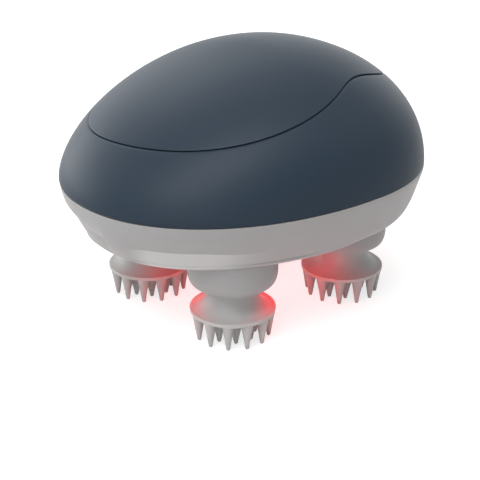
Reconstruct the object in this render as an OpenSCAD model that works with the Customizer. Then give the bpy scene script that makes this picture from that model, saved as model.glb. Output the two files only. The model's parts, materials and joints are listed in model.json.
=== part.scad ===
// Palm-size electric scalp massager: a two-tone egg-shaped casing on four turning spiked heads.
// Millimetres, +Z up, standing on the spike tips. The slim end points to -X, the full end to +X.

/* [Casing outline] */
// Length of the casing along X
body_len = 114.6; // [110:0.1:126]
// Width of the casing along Y
body_wid = 102.5; // [100:0.1:112]
// Height of the top of the cover above the surface that the heads stand on
top_z = 80.8; // [79:0.1:88]
// Height at which the casing is widest
widest_z = 45.2; // [44:0.1:46.5]
// Distance of the widest section from the middle of the length, towards +X
widest_x = 10.1; // [8:0.1:12]
// Height of the underside of the base
under_z = 27.3; // [26.8:0.1:27.8]
// Radius of the lower edge towards the slim end
rear_round = 1.8; // [1.4:0.1:2.4]
// Radius of the lower edge towards the full end
front_round = 4.4; // [3.6:0.1:4.8]
// Wall of the casing
wall = 2.4; // [2:0.1:2.8]
// Thickness of the floor of the base
floor_t = 2; // [1.6:0.1:2.4]

/* [Seams] */
// Height of the parting line above the widest section, at the middle of the length
parting_lift = 0.4; // [0:0.1:1]
// Slope of the parting line, rising towards +X, in degrees
parting_tilt = 1.1; // [0.5:0.1:1.5]
// Mean height of the wave seam, as a share of the way from the widest section to the top
seam_share = 0.66; // [0.63:0.005:0.68]
// Gap between two casing pieces at a seam
seam_gap = 0.3; // [0.2:0.05:0.5]
// Depth of the lip with which the top cover reaches into the upper housing
lip_depth = 3; // [2:0.1:4]

/* [Crescents] */
// Height of the upper line of the shallow crescents in the base
crescent_top = 40.4; // [39.5:0.1:41.5]
// Height of the sharp line at the bottom of the crescents
crescent_line = 35.8; // [35:0.1:36.5]
// Depth of the crescents at that line
crescent_depth = 1.1; // [0.7:0.1:1.3]

/* [Massage heads] */
// Distance of the axes of the rear heads from the rear end of the underside
head_rear_inset = 27.7; // [27:0.1:28.2]
// Distance of the axes of the front heads from the front end of the underside
head_front_inset = 19.9; // [19.4:0.1:20.4]
// Distance of the head axes from the sides of the underside
head_side_inset = 21.35; // [20.85:0.1:21.85]
// Radius of the rim of a head
rim_r = 13; // [12.6:0.1:13.4]
// Height of the upper edge of the rim
rim_z = 9.4; // [8.8:0.1:10]
// Thickness of the rim
rim_t = 1.4; // [1.2:0.1:1.8]
// Radius of the neck of a head
neck_r = 7.6; // [7.2:0.1:7.8]
// Height at which the neck starts to widen into the rim
flare_z = 15.8; // [15:0.1:16.6]
// Number of spikes in the outer ring
outer_spikes = 12; // [8:1:12]
// Radius of the ring of outer spikes
outer_ring_r = 10.85; // [10.4:0.05:10.9]
// Number of spikes in the inner ring
inner_spikes = 8; // [5:1:8]
// Radius of the ring of inner spikes
inner_ring_r = 6.55; // [6:0.05:6.8]
// Radius of a spike at its root
spike_root_r = 1.6; // [1.3:0.05:1.7]
// Radius of a spike's round tip
spike_tip_r = 0.65; // [0.5:0.05:0.8]
// Turn of the spike rings about the head's axis
spike_phase = 12.5; // [0:0.5:30]

/* [Turrets and spindles] */
// Outer radius of a turret
turret_r = 13.6; // [13.2:0.1:13.8]
// Height of the lower face of a turret
turret_z = 17.9; // [17.5:0.1:18.4]
// Gap between the neck of a head and the recess that it turns in
neck_gap = 0.7; // [0.5:0.1:1]
// Depth of that recess
recess_depth = 4.5; // [4.2:0.1:5]
// Radius of the spindle shaft
shaft_r = 3; // [2.8:0.1:3.2]
// Radius of the stub that a head is pushed on to
stub_r = 4; // [3.8:0.1:4.4]
// Length of that stub
stub_len = 8.6; // [8:0.1:9]

/* [Drive] */
// Teeth of the drive gear
drive_teeth = 44; // [42:1:46]
// Teeth of a spindle gear
spindle_teeth = 18; // [17:1:18]
// Teeth of the pinion
pinion_teeth = 12; // [12:1:14]
// Face width of all gears
gear_w = 4; // [3:0.5:5]
// Radius of the hollow axle of the drive gear
axle_r = 2.5; // [2.2:0.1:3]
// Radius of the bore of that axle
axle_bore_r = 1.5; // [1.3:0.1:1.6]
// Radius of the gearbox shaft
output_r = 2; // [1.8:0.1:2.2]
// Radius of the gearbox case
gearbox_r = 10.5; // [10:0.1:11]
// Height of the gearbox case
gearbox_h = 8; // [7:0.5:9]
// Radius of the motor
motor_r = 10; // [9:0.1:10.3]
// Room between the top of the motor and the top of the casing, for the leads
motor_room = 12; // [11:0.5:16]
// Radial clearance of a running fit
run_gap = 0.05; // [0.03:0.01:0.08]
// Gap between pieces that pass each other
free_gap = 0.4; // [0.3:0.05:0.5]

/* [Electrics] */
// Length of the battery along Y
battery_len = 46; // [40:0.5:48]
// Thickness of the battery
battery_t = 9; // [7:0.5:10]
// Width of the control board along X
board_wid = 26; // [24:0.5:28]
// Thickness of the boards
board_t = 1.2; // [0.8:0.1:1.6]
// Radius of a lead with its insulation
lead_r = 0.5; // [0.4:0.05:0.55]
// Radius of the light window
window_r = 9; // [8.4:0.1:9.6]
// How far the light window stands out below the base
window_drop = 3.6; // [3.4:0.1:4.2]

/* [Button and charging seat] */
// Radius of the power button
button_r = 4.6; // [4:0.1:4.8]
// Distance of the middle of the power button below the wave seam
button_drop = 7.6; // [7.2:0.1:8.4]
// Travel of the power button
button_travel = 0.8; // [0.5:0.1:1]
// Radius of the recess that the charging plug drops into
plug_r = 3.8; // [3.6:0.1:4]
// Depth of that recess
plug_depth = 2.4; // [2:0.1:3]
// Distance between the charging seat and the parting line
seat_drop = 2.2; // [1.8:0.1:2.6]

/* [Hidden] */

dark = "#3a4450";
light = "#b4b4b4";
nylon = "#e8e4d8";
steel = "#a8adb3";
board_green = "#2f6b45";
red = "#e04550";
rubber = "#22262b";
gold = "#c9a24a";
fine = 64;
// Length of a cutter that passes right through
through = 2 * top_z;

// ---- outline of the casing ------------------------------------------------------------------
segs = 72;
plan_pow = 2.1;
rear_len = body_len / 2 + widest_x;
front_len = body_len / 2 - widest_x;
half_wid = body_wid / 2;
apex_shift = 1.4;
// Exponents of the three quarter profiles above the widest section: rear end, front end, side
rear_pow = [1.65, 1.6];
front_pow = [2.09, 2.19];
side_pow = [2.17, 2.11];
// How far the rear end, front end and sides of the base draw in down to the underside, and how late
rear_draw = 9.4;
rear_slope = 1.1;
rear_late = 5.7;
front_draw = 11.6;
front_late = 5.9;
side_draw = 9.1;
side_late = 1.08;
middle_shift = 6.3;
// Angles from +X between which the rounding of the lower edge changes
round_turn = [88, 105];
// Waves of the seam, as shares of the height from the widest section to the top
seam_waves = [0.111, -0.1306, -0.0337];
// Plan angles of each crescent: deep end and fading end, and the lengths of those two ramps
crescents = [[197, 234, 4, 16], [187, 150, 4, 16]];

function smooth(s) = let (c = max(0, min(1, s))) c * c * (3 - 2 * c);
function quarter(t, p) = pow(max(0, 1 - pow(t, p[0])), 1 / p[1]);
function above(z, off) = max(0, min(1, (z - widest_z) / (top_z - off - widest_z)));
function below(z) = max(0, min(1, (widest_z - z) / (widest_z - under_z)));
function plan_r(phi) = pow(pow(abs(cos(phi)), plan_pow) + pow(abs(sin(phi)), plan_pow), -1 / plan_pow);

// Middle, rear reach, front reach and half width of the casing at height z, moved inwards by off
function section(z, off = 0) =
    let (t = above(z, off), u = below(z))
    z > widest_z
        ? [
            widest_x + apex_shift * t * t,
            (rear_len - off) * quarter(t, rear_pow),
            (front_len - off) * quarter(t, front_pow),
            (half_wid - off) * quarter(t, side_pow)
        ]
        : [
            widest_x + middle_shift * u * u,
            rear_len - off - rear_slope * u - (rear_draw - rear_slope - middle_shift) * pow(u, rear_late),
            front_len - off - middle_shift * u * u - front_draw * pow(u, front_late),
            half_wid - off - side_draw * pow(u, side_late)
        ];

// Point of the casing at height z and plan angle phi, moved inwards by off
function skin(z, phi, off = 0) =
    let (s = section(z, off), r = plan_r(phi))
    [s[0] + (cos(phi) > 0 ? s[2] : s[1]) * r * cos(phi), s[3] * r * sin(phi), z];

// Heights of the parting line and of the wave seam at plan angle phi
parting_z = widest_z + parting_lift;
dome_h = top_z - widest_z;
function parting(phi) = parting_z + tan(parting_tilt) * skin(widest_z, phi)[0];
function seam(phi) =
    widest_z + dome_h * (seam_share + [for (k = [1:3]) cos(k * phi)] * seam_waves);

// Radius of the lower edge of the base at plan angle phi
function edge_round(phi) =
    let (turn = acos(cos(phi)), s = (turn - round_turn[0]) / (round_turn[1] - round_turn[0]))
    front_round + (rear_round - front_round) * smooth(s);

// Share of its full depth that crescent c has at plan angle phi
function crescent_share(c, phi) =
    let (way = sign(c[1] - c[0]), from = way * (phi - c[0]), left = way * (c[1] - phi))
    smooth(from / c[2]) * smooth(left / c[3]);

// Depth of the crescents at height z and plan angle phi
function crescent(z, phi) =
    let (low = under_z + edge_round(phi), rise = (crescent_top - z) / (crescent_top - crescent_line))
    let (fall = (z - low) / (crescent_line - low))
    crescent_depth * max(0, min(rise, fall)) * max([for (c = crescents) crescent_share(c, phi)]);

function at_level(z) = [for (i = [0:segs - 1]) z];
function at_parting(lift) = [for (i = [0:segs - 1]) parting(360 * i / segs) + lift];
function at_seam(lift) = [for (i = [0:segs - 1]) seam(360 * i / segs) + lift];
function between(za, zb, s) = [for (i = [0:segs - 1]) za[i] + s * (zb[i] - za[i])];
function ring(zs, off) = [for (i = [0:segs - 1]) skin(zs[i], 360 * i / segs, off)];
function apex(off) = [widest_x + apex_shift, 0, top_z - off];
function dome_step(s) = 1 - pow(1 - s, 2);

// Closed solid through rings that run down its outside and up its inside
module loft(rings, tips = undef) {
    n = len(rings[0]);
    m = len(rings);
    looped = is_undef(tips);
    sides = [
        for (k = [0:looped ? m - 1 : m - 2], i = [0:n - 1])
            let (a = k * n, b = ((k + 1) % m) * n, j = (i + 1) % n)
            each [[a + i, a + j, b + i], [a + j, b + j, b + i]]
    ];
    caps = looped ? [] : [
        for (i = [0:n - 1])
            let (j = (i + 1) % n, last = (m - 1) * n)
            each [[m * n, j, i], [last + i, last + j, m * n + 1]]
    ];
    polyhedron(concat([for (r = rings) each r], looped ? [] : tips), concat(sides, caps));
}

// ---- places that several pieces share -------------------------------------------------------
floor_z = under_z + floor_t;
post_z = floor_z - floor_t / 2;
flange_t = 0.8;
gear_z = floor_z + flange_t + 0.3;
deck_z = gear_z + gear_w + 0.8;
deck_t = 2.2;
deck_top = deck_z + deck_t;
recess_r = neck_r + neck_gap;
recess_top = turret_z + recess_depth;
seal_h = 1.8;
seal_r = shaft_r + 2.8;
bush_r = shaft_r + 1.8;
shoulder_t = 1;
shoulder_z = recess_top - free_gap - shoulder_t;
stub_z = shoulder_z - stub_len;
head_top = shoulder_z - 0.1;
flat_depth = 0.9;
journal_r = shaft_r - 0.8;

rear_edge_x = skin(under_z, 180)[0];
front_edge_x = skin(under_z, 0)[0];
head_x = [rear_edge_x + head_rear_inset, front_edge_x - head_front_inset];
head_y = skin(under_z, 90)[1] - head_side_inset;
head_at = [for (x = head_x, y = [-head_y, head_y]) [x, y]];
centre = [(head_x[0] + head_x[1]) / 2, 0];
centre_dist = norm(head_at[0] - centre);
gear_module = 2 * centre_dist / (drive_teeth + spindle_teeth);
pinion_at = centre + [gear_module * (drive_teeth + pinion_teeth) / 2, 0];

post_r = 3.4;
post_gap = 0.8;
screw_r = 1.1;
screw_head_r = 2.1;
screw_head_t = 1.4;
// How far a screw reaches into the boss or post that it holds
case_screw_grip = 6;
deck_screw_grip = 5;
short_screw_len = 3.6;
strap_t = 1.6;
rear_post_x = rear_edge_x + 5.4;
side_post_y = skin(under_z, 90)[1] - 5.3;
case_posts = [[rear_post_x, 0], [centre[0], -side_post_y], [centre[0], side_post_y]];
// Point at distance ra from a and rb from b, on the +X side of both
function meeting(a, ra, b, rb) =
    let (d = norm(b - a), along = (ra * ra - rb * rb + d * d) / (2 * d))
    let (u = (b - a) / d, aside = sqrt(ra * ra - along * along))
    a + along * u + aside * [u[1], -u[0]];
drive_tip_r = gear_module * (drive_teeth / 2 + 1);
spindle_tip_r = gear_module * (spindle_teeth / 2 + 1);
deck_post_y = drive_tip_r + post_gap + post_r;
rear_deck_post = [rear_post_x + 1.5, 10];
front_deck_post = meeting(
    pinion_at, gearbox_r + strap_t + screw_head_r + 1.2,
    head_at[3], spindle_tip_r + post_r + post_gap
);
deck_posts = [
    for (p = [rear_deck_post, [centre[0], deck_post_y], front_deck_post], sy = [-1, 1]) [p[0], sy * p[1]]
];
case_post_top = parting_z - 2.6;
boss_top = case_post_top + 9;

// The battery fills the room between the drive axle and the rear deck screws
tray_t = 1.2;
tray_wall = 4;
tray_gap = 1.8;
axle_lip = 1.2;
axle_cap_t = 1.4;
tray_x = [
    rear_deck_post[0] + screw_head_r + tray_gap,
    centre[0] - axle_r - axle_lip - tray_gap
];
tray_middle = (tray_x[0] + tray_x[1]) / 2;
battery_wid = tray_x[1] - tray_x[0] - 2 * tray_t;
pillar_r = 2.3;
tray_pillar_y = battery_len / 2 + tray_t + pillar_r;
tray_pillars = [
    for (sx = [-1, 1], sy = [-1, 1]) [tray_middle + sx * (board_wid / 2 - 3), sy * tray_pillar_y]
];
board_z = deck_top + tray_t + battery_t + 2;
board_top = board_z + board_t;
board_len = 2 * (tray_pillar_y + pillar_r + 0.1);
motor_top = top_z - wall - motor_room;
motor_h = motor_top - deck_top - gearbox_h;
strap_ear_r = 3;
strap_ear_turn = 125;
strap_ear_reach = gearbox_r + strap_t + strap_ear_r - 0.4;
strap_ears = [
    for (sy = [-1, 1]) pinion_at + strap_ear_reach * [cos(strap_ear_turn), sy * sin(strap_ear_turn)]
];

// Outward direction of the casing's surface at height z and plan angle phi
function outward(z, phi) =
    let (n = cross(skin(z, phi + 1) - skin(z, phi - 1), skin(z + 1, phi) - skin(z - 1, phi)))
    n / norm(n);
button_z = seam(0) - button_drop;
button_at = skin(button_z, 0);
button_tilt = asin(outward(button_z, 0)[2]);
bezel_r = button_r + 1.6;
bezel_lip = 2.2;
button_flange = 1;
button_back = bezel_lip + run_gap + button_flange;
switch_h = 1.8;
switch_foot = 0.8;
pod_depth = button_back + button_travel + switch_h + switch_foot;
pod_wall = 0.7;

// The status light lies beside the button, at the same height
light_r = 1;
light_turn = asin((bezel_r + 3.2) / skin(button_z, 90)[1]);

seat_r = plug_r + 1.2;
seat_z = parting(0) - seat_drop - seat_r;
seat_face_x = skin(seat_z, 0)[0] - 0.6;
seat_depth = plug_depth + 2.6;
contact_y = plug_r - 1.2;
contact_r = 0.7;
contact_tail = 0.6;
magnet_r = 1.6;
magnet_t = 2;

module at_each(places) {
    for (p = places) translate([p[0], p[1], 0]) children();
}

module on_face(z, phi) {
    n = outward(z, phi);
    translate(skin(z, phi)) rotate([0, acos(n[2]), atan2(n[1], n[0])]) children();
}

module on_button() {
    on_face(button_z, 0) children();
}

module on_light() {
    on_face(button_z, light_turn) children();
}

module on_seat() {
    translate([seat_face_x, 0, seat_z]) rotate([0, 90, 0]) children();
}

module disc(z, h, r) {
    translate([0, 0, z]) cylinder(h = h, r = r, $fn = fine);
}

module tube(z, h, r, bore) {
    difference() {
        disc(z, h, r);
        disc(z - 1, h + 2, bore);
    }
}

// Bore of radius r, open at both ends, along the axis that it is placed on
module bore(r) {
    reach = 10;
    translate([0, 0, -reach]) cylinder(h = 2 * reach, r = r, $fn = fine);
}

module rounded_plate(size, r, h) {
    linear_extrude(h) {
        square([size[0] - 2 * r, size[1]], center = true);
        square([size[0], size[1] - 2 * r], center = true);
        for (sx = [-1, 1], sy = [-1, 1]) {
            translate([sx * (size[0] / 2 - r), sy * (size[1] / 2 - r)]) circle(r, $fn = fine);
        }
    }
}

// ---- casing ---------------------------------------------------------------------------------
module top_cover() {
    lip = wall + free_gap;
    lip_t = 1.4;
    lip_root = wall / 2;
    ledge = at_seam(seam_gap / 2);
    color(dark) loft(concat(
        [for (i = [9:-1:0]) ring(between(ledge, at_level(top_z), dome_step(i / 10)), 0)],
        [for (drop = [seam_gap / 2, -lip_depth]) ring(at_seam(drop), lip)],
        [for (drop = [-lip_depth, lip_root]) ring(at_seam(drop), lip + lip_t)],
        [for (i = [0:9])
            ring(between(at_seam(lip_root + free_gap), at_level(top_z - wall), dome_step(i / 10)), wall)]
    ), [apex(0), apex(wall)]);
}

module upper_housing() {
    low = at_parting(0.1);
    high = at_seam(-seam_gap / 2);
    color(dark) difference() {
        union() {
            loft(concat(
                [for (s = [6:-1:0]) ring(between(low, high, s / 6), 0)],
                [for (s = [0:6]) ring(between(low, high, s / 6), wall)]
            ));
            for (p = case_posts) screw_boss(p);
        }
        at_each(case_posts) disc(case_post_top - 1, case_screw_grip + 2, screw_r);
        on_button() bore(bezel_r + run_gap);
        on_light() bore(light_r + run_gap);
    }
}

// Boss over a post of the base, with a web to the wall of the housing
module screw_boss(p) {
    web_t = 3;
    web_z = parting_z + 1.4;
    at_side = abs(p[1]) > 1;
    reach = at_side ? skin(boss_top, 90)[1] - abs(p[1]) : p[0] - skin(boss_top, 180)[0];
    translate([p[0], p[1], 0]) {
        disc(case_post_top + 0.1, boss_top - case_post_top - 0.1, post_r);
        rotate([0, 0, at_side ? 90 * sign(p[1]) : 180]) translate([0, -web_t / 2, web_z]) {
            cube([reach - wall / 2, web_t, boss_top - web_z]);
        }
    }
}

module base_housing() {
    stud_top = gear_z - free_gap;
    color(light) difference() {
        union() {
            difference() {
                union() {
                    bowl();
                    at_each(head_at) turret();
                }
                bowl_cavity();
            }
            at_each(case_posts) disc(post_z, case_post_top - post_z, post_r);
            at_each(deck_posts) disc(post_z, deck_z - free_gap - post_z, post_r);
            at_each([centre]) disc(post_z, stud_top - post_z, axle_r + 2);
            at_each([pinion_at]) disc(post_z, stud_top - post_z, output_r + 2);
        }
        at_each(head_at) {
            disc(turret_z - 1, recess_depth + 1, recess_r);
            disc(recess_top - 1, seal_h + 1, seal_r);
            disc(recess_top, through, bush_r);
        }
        at_each(case_posts) {
            disc(under_z - 1, through, screw_r + 0.1);
            disc(under_z - 1, screw_head_t + 1.3, screw_head_r + 0.2);
        }
        at_each(deck_posts) disc(deck_z - deck_screw_grip - 1, through, screw_r);
        at_each([centre]) disc(under_z - 1, through, axle_r);
        at_each([pinion_at]) disc(floor_z - 0.6, through, output_r + run_gap);
        on_seat() bore(seat_r + run_gap);
    }
}

// Ring of the bowl's outside, drawn in by the crescents
function bowl_ring(zs) = [
    for (i = [0:segs - 1]) let (phi = 360 * i / segs) skin(zs[i], phi, crescent(zs[i], phi))
];

// Ring of the rounded lower edge of the bowl, at angle a of the rounding
function edge_ring(a) = [
    for (i = [0:segs - 1])
        let (phi = 360 * i / segs, r = edge_round(phi))
        skin(under_z + r * (1 - sin(a)), phi, r * (1 - cos(a)))
];

// Outside of the bowl as one solid
module bowl() {
    step = wall / 2;
    top = at_parting(0);
    upper = at_level(crescent_top);
    line = at_level(crescent_line);
    low = [for (i = [0:segs - 1]) under_z + edge_round(360 * i / segs)];
    loft(concat(
        [ring(top, step)],
        [for (s = [0:2]) bowl_ring(between(top, upper, s / 3))],
        [for (s = [0:2]) bowl_ring(between(upper, line, s / 3))],
        [for (s = [0:3]) bowl_ring(between(line, low, s / 4))],
        [for (a = [0:22.5:90]) edge_ring(a)]
    ), [[centre[0], 0, parting_z], [centre[0], 0, under_z]]);
}

// Inside of the bowl, with the step in which the upper housing stands
module bowl_cavity() {
    step = wall / 2;
    loft(concat(
        [for (lift = [1, 0, -1]) ring(at_parting(lift), step)],
        [for (s = [4:-1:0]) ring(between(at_level(floor_z), at_parting(-1), s / 4), wall)]
    ), [[centre[0], 0, parting_z + 1], [centre[0], 0, floor_z]]);
}

// Boss of a head, with a round lower edge; its upper part stands out of the rounded edge of the bowl
module turret() {
    side = 2.7;
    rise = 4.5;
    root = floor_z + wall;
    rotate_extrude($fn = fine) polygon(concat(
        [[0, root], [0, turret_z]],
        [for (a = [0:15:90]) [turret_r - side + side * sin(a), turret_z + rise * (1 - cos(a))]],
        [[turret_r, root]]
    ));
}

module housing_gasket() {
    outer = wall / 2 + 0.05;
    color(rubber) loft([
        ring(at_parting(-0.05), outer), ring(at_parting(-0.95), outer),
        ring(at_parting(-0.95), wall), ring(at_parting(-0.05), wall)
    ]);
}

// Screw with its shank upwards from z and its head on top
module screw(z, length) {
    disc(z, length + screw_head_t / 2, screw_r);
    disc(z + length, screw_head_t, screw_head_r);
}

module case_screws() {
    head_z = under_z + screw_head_t + 0.3;
    tip_z = case_post_top + case_screw_grip;
    color(steel) at_each(case_posts) mirror([0, 0, 1]) screw(-tip_z, tip_z - head_z);
}

module deck_screws() {
    color(steel) at_each(deck_posts) screw(deck_z - deck_screw_grip, deck_screw_grip + deck_t);
}

module short_screws() {
    color(steel) {
        at_each(strap_ears) screw(deck_top + strap_t - short_screw_len, short_screw_len);
        at_each(tray_pillars) screw(board_top - short_screw_len, short_screw_len);
    }
}

// ---- gear train -----------------------------------------------------------------------------
// Half outline of a tooth: share of the tooth pitch at each height above or below the pitch circle
flank = [[-1.2, 0.36], [-0.6, 0.29], [0, 0.232], [0.5, 0.172], [0.9, 0.11]];

function tooth(teeth) =
    let (sides = concat([for (f = flank) [f[0], -f[1]]], [for (i = [len(flank) - 1:-1:0]) flank[i]]))
    [for (f = sides) [gear_module * (teeth / 2 + f[0]), f[1] * 360 / teeth]];

// Turn that brings a gear into mesh with the drive gear, when it lies in direction a from the centre
function mesh_turn(a, teeth) = a + 180 + a * drive_teeth / teeth - 180 / teeth;

module gear(teeth, bore) {
    translate([0, 0, gear_z]) linear_extrude(gear_w) difference() {
        polygon([
            for (k = [0:teeth - 1], p = tooth(teeth))
                [p[0] * cos(360 * k / teeth + p[1]), p[0] * sin(360 * k / teeth + p[1])]
        ]);
        circle(bore, $fn = fine);
    }
}

module drive_axle() {
    color(steel) at_each([centre]) difference() {
        union() {
            disc(under_z, deck_top + axle_cap_t - under_z, axle_r);
            disc(deck_top, 1, axle_r + axle_lip);
        }
        disc(under_z - 1, through, axle_bore_r);
    }
}

module drive_gear() {
    color(nylon) at_each([centre]) gear(drive_teeth, axle_r + run_gap);
}

module gearbox_shaft() {
    foot = floor_z - 0.4;
    color(steel) at_each([pinion_at]) disc(foot, deck_top + 3.6 - foot, output_r);
}

module drive_pinion() {
    color(nylon) at_each([pinion_at]) rotate([0, 0, mesh_turn(0, pinion_teeth)]) {
        gear(pinion_teeth, output_r);
    }
}

module gearbox_case() {
    socket_h = 4;
    color(steel) at_each([pinion_at]) difference() {
        disc(deck_top, gearbox_h, gearbox_r);
        disc(deck_top - 1, socket_h + 1, output_r + run_gap);
    }
}

module motor() {
    bearing_t = 1.5;
    color(steel) at_each([pinion_at]) {
        disc(deck_top + gearbox_h, motor_h - bearing_t, motor_r);
        disc(motor_top - bearing_t - 0.1, bearing_t + 0.1, motor_r / 2);
    }
}

module motor_strap() {
    bar_wid = 4;
    bar_from = gearbox_r + strap_t / 2;
    color(rubber) difference() {
        at_each([pinion_at]) {
            disc(deck_top, gearbox_h - 2, gearbox_r + strap_t);
            for (sy = [-1, 1]) rotate([0, 0, sy * strap_ear_turn]) {
                translate([bar_from, -bar_wid / 2, deck_top]) {
                    cube([strap_ear_reach - bar_from + 1, bar_wid, strap_t]);
                }
                translate([strap_ear_reach, 0, 0]) disc(deck_top, strap_t, strap_ear_r);
            }
        }
        at_each([pinion_at]) disc(deck_top - 1, through, gearbox_r);
        at_each(strap_ears) disc(deck_top - 1, through, screw_r);
    }
}

module gear_deck() {
    outline = [
        for (i = [0:segs - 1]) let (p = skin(deck_z, 360 * i / segs, wall + free_gap)) [p[0], p[1]]
    ];
    color(dark) difference() {
        translate([0, 0, deck_z]) linear_extrude(deck_t) polygon(outline);
        at_each(head_at) disc(deck_z - 1, through, journal_r + run_gap);
        at_each([centre]) disc(deck_z - 1, through, axle_r);
        at_each([pinion_at]) disc(deck_z - 1, through, output_r + 1);
        at_each(deck_posts) disc(deck_z - 1, through, screw_r + 0.1);
        at_each(case_posts) disc(deck_z - 1, through, post_r + free_gap);
        at_each(strap_ears) disc(deck_z - 1, through, screw_r);
        on_seat() translate([0, 0, -seat_depth - 4]) cylinder(h = through, r = seat_r + 1, $fn = fine);
    }
}

// ---- electrics ------------------------------------------------------------------------------
module battery_tray() {
    outer = [battery_wid + 2 * tray_t, battery_len + 2 * tray_t];
    inner = [battery_wid + free_gap, battery_len + free_gap];
    color(dark) difference() {
        union() {
            translate([tray_middle, 0, deck_top]) rounded_plate(outer, 2, tray_t + tray_wall);
            at_each(tray_pillars) disc(deck_top, board_z - deck_top, pillar_r);
        }
        translate([tray_middle, 0, deck_top + tray_t]) rounded_plate(inner, 1, through);
        at_each(tray_pillars) disc(board_z - 4, through, screw_r);
    }
}

module battery() {
    color("#4a6fa5") translate([tray_middle, 0, deck_top + tray_t]) {
        rounded_plate([battery_wid, battery_len], 1.4, battery_t);
    }
}

module control_board() {
    color(board_green) difference() {
        translate([tray_middle, 0, board_z]) rounded_plate([board_wid, board_len], 1.5, board_t);
        at_each(tray_pillars) disc(board_z - 1, through, screw_r + 0.1);
    }
}

// Chips, each given by its corner on the board and its size, and two round capacitors
chips = [[[-8, -5], [7, 7, 1.2]], [[-9, 8], [5, 4, 1.5]], [[-6, -16], [6, 6, 3]]];
capacitors = [[1, 15], [-7, 17]];
capacitor_r = 2;
capacitor_h = 5;

module board_parts() {
    color(rubber) translate([tray_middle, 0, board_top]) {
        for (c = chips) translate(c[0]) cube(c[1]);
        for (c = capacitors) translate(c) cylinder(h = capacitor_h, r = capacitor_r, $fn = fine);
    }
}

module button_bezel() {
    hole_r = button_r + run_gap;
    pod_r = bezel_r - pod_wall;
    color(rubber) on_button() rotate_extrude($fn = fine) polygon([
        [hole_r, 0], [bezel_r, 0], [bezel_r, -pod_depth], [pod_r, -pod_depth],
        [pod_r, -bezel_lip], [hole_r, -bezel_lip]
    ]);
}

module power_button() {
    edge = 0.5;
    under_lip = -bezel_lip - run_gap;
    flange_r = button_r + 0.6;
    color(dark) on_button() rotate_extrude($fn = fine) polygon(concat(
        [[0, -button_back], [flange_r, -button_back], [flange_r, under_lip], [button_r, under_lip]],
        [for (a = [0:30:90]) [button_r - edge + edge * cos(a), edge * sin(a)]],
        [[button_r / 2, 0.6 * edge], [0, edge / 2]]
    ));
}

module button_switch() {
    size = 6;
    color(steel) on_button() {
        translate([-size / 2, -size / 2, -pod_depth]) cube([size, size, switch_h]);
        translate([0, 0, -pod_depth + 1]) {
            cylinder(h = pod_depth - 1 - button_back - button_travel - run_gap, r = 1.6, $fn = fine);
        }
    }
}

module button_board() {
    color(board_green) on_button() translate([0, 0, -pod_depth - board_t]) {
        cylinder(h = board_t, r = bezel_r, $fn = fine);
    }
}

module status_light() {
    color("#dff3ff") on_light() translate([0, 0, -wall]) {
        cylinder(h = wall, r = light_r, $fn = fine);
    }
}

module charging_seat() {
    color(rubber) on_seat() difference() {
        translate([0, 0, -seat_depth]) cylinder(h = seat_depth, r = seat_r, $fn = fine);
        translate([0, 0, -plug_depth]) cylinder(h = through, r = plug_r, $fn = fine);
        for (sy = [-1, 1]) translate([0, sy * contact_y, 0]) bore(contact_r);
        translate([0, 0, -seat_depth - 1]) cylinder(h = magnet_t + 1, r = magnet_r, $fn = fine);
    }
}

module charging_contacts() {
    length = seat_depth - plug_depth + contact_tail;
    color(gold) on_seat() for (sy = [-1, 1]) translate([0, sy * contact_y, -plug_depth - length]) {
        cylinder(h = length, r = contact_r, $fn = fine);
    }
}

module seat_magnet() {
    color(steel) on_seat() translate([0, 0, -seat_depth]) cylinder(h = magnet_t, r = magnet_r, $fn = fine);
}

// Shallow round cup under the base, over the light board
module light_window() {
    skin_t = 1.2;
    edge = 1.6;
    low = under_z - window_drop;
    color(red) at_each([centre]) difference() {
        rotate_extrude($fn = fine) polygon(concat(
            [[0, under_z], [0, low]],
            [for (a = [0:15:90]) [window_r - edge + edge * sin(a), low + edge * (1 - cos(a))]],
            [[window_r, under_z]]
        ));
        disc(low + skin_t, through, window_r - skin_t);
    }
}

module light_board() {
    color(board_green) at_each([centre]) {
        tube(under_z - board_t, board_t, window_r - 1.5, axle_bore_r);
    }
}

module light_diodes() {
    size = 1.8;
    height = 0.7;
    color("#fff4e8") at_each([centre]) for (k = [0:5]) rotate([0, 0, 60 * k]) {
        translate([axle_bore_r + 1.7, -size / 2, under_z - board_t - height]) cube([size, size, height]);
    }
}

// ---- leads ----------------------------------------------------------------------------------
function bezier(p, t) =
    len(p) == 1 ? p[0] : bezier([for (i = [0:len(p) - 2]) p[i] + t * (p[i + 1] - p[i])], t);
function curve(p, steps = 12) = [for (i = [0:steps]) bezier(p, i / steps)];
function unit(v) = v / norm(v);
// Lift of a lead's end off the face that it is soldered to
solder = 0.35;

// Round lead along a path, six-sided
module lead(path) {
    n = len(path);
    rings = [
        for (i = [0:n - 1])
            let (
                d = unit(path[min(n - 1, i + 1)] - path[max(0, i - 1)]),
                u = unit(cross(d, [0.3, 1, 0.2])),
                v = cross(d, u)
            )
            [for (k = [0:5]) path[i] + lead_r * (cos(60 * k) * u - sin(60 * k) * v)]
    ];
    loft(rings, [path[0], path[n - 1]]);
}

// Places on the board where leads end, the rise of a lead over them, and the spacing of a pair
socket_x = tray_middle + board_wid / 2 - 3;
socket_rise = 9;
pair = 1.2;
function socket(y) = [socket_x, y, board_top + solder];
function over_socket(y, dx = 0, rise = socket_rise) = socket(y) + [dx, 0, rise];

module motor_leads() {
    bend = 5;
    color("#b03030") for (k = [-1, 1]) lead(curve([
        [pinion_at[0], k * 3, motor_top + solder],
        [pinion_at[0], k * 3, motor_top + bend],
        [(pinion_at[0] + socket_x) / 2, k * 3, motor_top + bend],
        over_socket(k * pair, 4, 2 * socket_rise),
        over_socket(k * pair),
        socket(k * pair)
    ]));
}

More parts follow.
